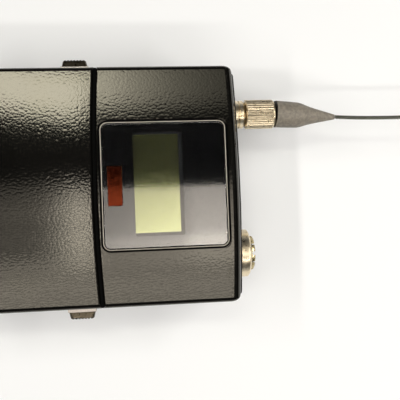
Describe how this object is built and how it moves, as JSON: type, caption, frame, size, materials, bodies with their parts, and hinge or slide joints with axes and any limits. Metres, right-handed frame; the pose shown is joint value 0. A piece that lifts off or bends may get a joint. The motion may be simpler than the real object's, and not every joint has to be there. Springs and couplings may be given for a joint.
{
  "type": "wireless bodypack transmitter",
  "caption": "Pocket radio transmitter pack with display window, hinged battery door, belt clip, screw-on whip antenna and round input socket.",
  "frame": {"origin": "centre of the flat back face of the housing", "axes": "+X along the pack towards the antenna and input socket end, +Y towards the antenna side, +Z out of the display face"},
  "size_m": [0.2017, 0.0724, 0.0304],
  "materials": {
    "coated_metal": "pebbled satin coating on a cast metal shell, warm dark grey",
    "moulded_black": "fine matte moulded plastic, near black",
    "gloss_mask": "gloss black mask printed behind the window",
    "window": "clear hard-coated window, glossy",
    "lcd": "pale yellow-green reflective liquid-crystal panel, blank",
    "backlight": "white light guide",
    "ir_red": "dark red infrared filter",
    "led_lens": "translucent pale green light pipe",
    "circuit_board": "green solder mask",
    "steel": "satin steel",
    "black_steel": "black-finished spring steel",
    "whip_wire": "dark coated stranded wire, twisted lay",
    "gold_plate": "pale gold plating, polished",
    "boot_rubber": "matte taupe-grey rubber",
    "button_rubber": "matte grey silicone rubber",
    "foam": "closed-cell foam",
    "cell_jacket": "plain printed cell sleeve, no markings",
    "blank_label": "plain satin foil label, left blank"
  },
  "bodies": {
    "base": {"aa_cell_1": "cell_jacket", "aa_cell_2": "cell_jacket", "antenna_boot": "boot_rubber", "antenna_ferrule": "moulded_black", "antenna_socket": "gold_plate", "antenna_socket_nut": "steel", "battery_tray": "moulded_black", "case_screw_1": "black_steel", "case_screw_2": "black_steel", "case_screw_3": "black_steel", "case_screw_4": "black_steel", "clip_base": "black_steel", "clip_screw_1": "steel", "clip_screw_2": "steel", "contact_plate_1": "gold_plate", "contact_plate_2": "gold_plate", "contact_spring_1": "gold_plate", "contact_spring_2": "gold_plate", "control_board": "circuit_board", "control_panel": "moulded_black", "display_bezel": "gloss_mask", "display_window": "window", "door_hinge_pin": "steel", "door_seal": "moulded_black", "end_panel": "moulded_black", "front_housing": "coated_metal", "input_jack_insert": "moulded_black", "input_jack_nut": "steel", "input_jack_ring": "gold_plate", "input_jack_shell": "gold_plate", "input_pin_1": "gold_plate", "input_pin_2": "gold_plate", "input_pin_3": "gold_plate", "input_pin_4": "gold_plate", "ir_filter": "ir_red", "ir_sensor": "moulded_black", "label_plate": "blank_label", "lcd_backlight": "backlight", "lcd_glass": "lcd", "main_board": "circuit_board", "power_switch_body": "moulded_black", "rear_housing": "coated_metal", "rf_shield_can": "steel", "status_led_lens": "led_lens"},
    "door": {"battery_door": "coated_metal", "door_pad": "foam"},
    "latch_upper": {"door_latch_upper": "steel"},
    "latch_lower": {"door_latch_lower": "steel"},
    "power_switch": {"power_switch_slider": "moulded_black"},
    "antenna_nut": {"antenna_nut": "gold_plate"},
    "whip": {"antenna_whip": "whip_wire", "antenna_tip": "moulded_black"},
    "clip": {"belt_clip": "black_steel"},
    "menu_button_1": {"menu_button_1": "button_rubber"},
    "menu_button_2": {"menu_button_2": "button_rubber"},
    "menu_button_3": {"menu_button_3": "button_rubber"},
    "menu_button_4": {"menu_button_4": "button_rubber"}
  },
  "joints": [
    {"name": "door_hinge", "type": "hinge", "parent": "base", "child": "door", "pos_m": [-0.0413, 0, 0.0109], "axis": [0, -1, 0], "range_deg": [0, 95]},
    {"name": "latch_upper_press", "type": "slide", "parent": "door", "child": "latch_upper", "axis": [0, -1, 0], "range_m": [0, 0.0012], "stiffness_N_per_m": 800},
    {"name": "latch_lower_press", "type": "slide", "parent": "door", "child": "latch_lower", "axis": [0, 1, 0], "range_m": [0, 0.0012], "stiffness_N_per_m": 800},
    {"name": "power_switch_slide", "type": "slide", "parent": "base", "child": "power_switch", "axis": [0, 1, 0], "range_m": [0, 0.0028]},
    {"name": "antenna_nut_spin", "type": "hinge", "parent": "base", "child": "antenna_nut", "pos_m": [0.05, 0.02075, 0.0115], "axis": [1, 0, 0], "continuous": true},
    {"name": "whip_flex", "type": "hinge", "parent": "base", "child": "whip", "pos_m": [0.07446, 0.01948, 0.0115], "axis": [0, 0, 1], "range_deg": [-20, 20], "stiffness_Nm_per_rad": 0.02},
    {"name": "clip_flex", "type": "hinge", "parent": "base", "child": "clip", "pos_m": [0.04095, 0, -0.004], "axis": [0, -1, 0], "range_deg": [0, 15], "stiffness_Nm_per_rad": 1.5},
    {"name": "menu_button_1_press", "type": "slide", "parent": "base", "child": "menu_button_1", "axis": [0, 0, -1], "range_m": [0, 0.0005], "stiffness_N_per_m": 1500},
    {"name": "menu_button_2_press", "type": "slide", "parent": "base", "child": "menu_button_2", "axis": [0, 0, -1], "range_m": [0, 0.0005], "stiffness_N_per_m": 1500},
    {"name": "menu_button_3_press", "type": "slide", "parent": "base", "child": "menu_button_3", "axis": [0, 0, -1], "range_m": [0, 0.0005], "stiffness_N_per_m": 1500},
    {"name": "menu_button_4_press", "type": "slide", "parent": "base", "child": "menu_button_4", "axis": [0, 0, -1], "range_m": [0, 0.0005], "stiffness_N_per_m": 1500}
  ]
}
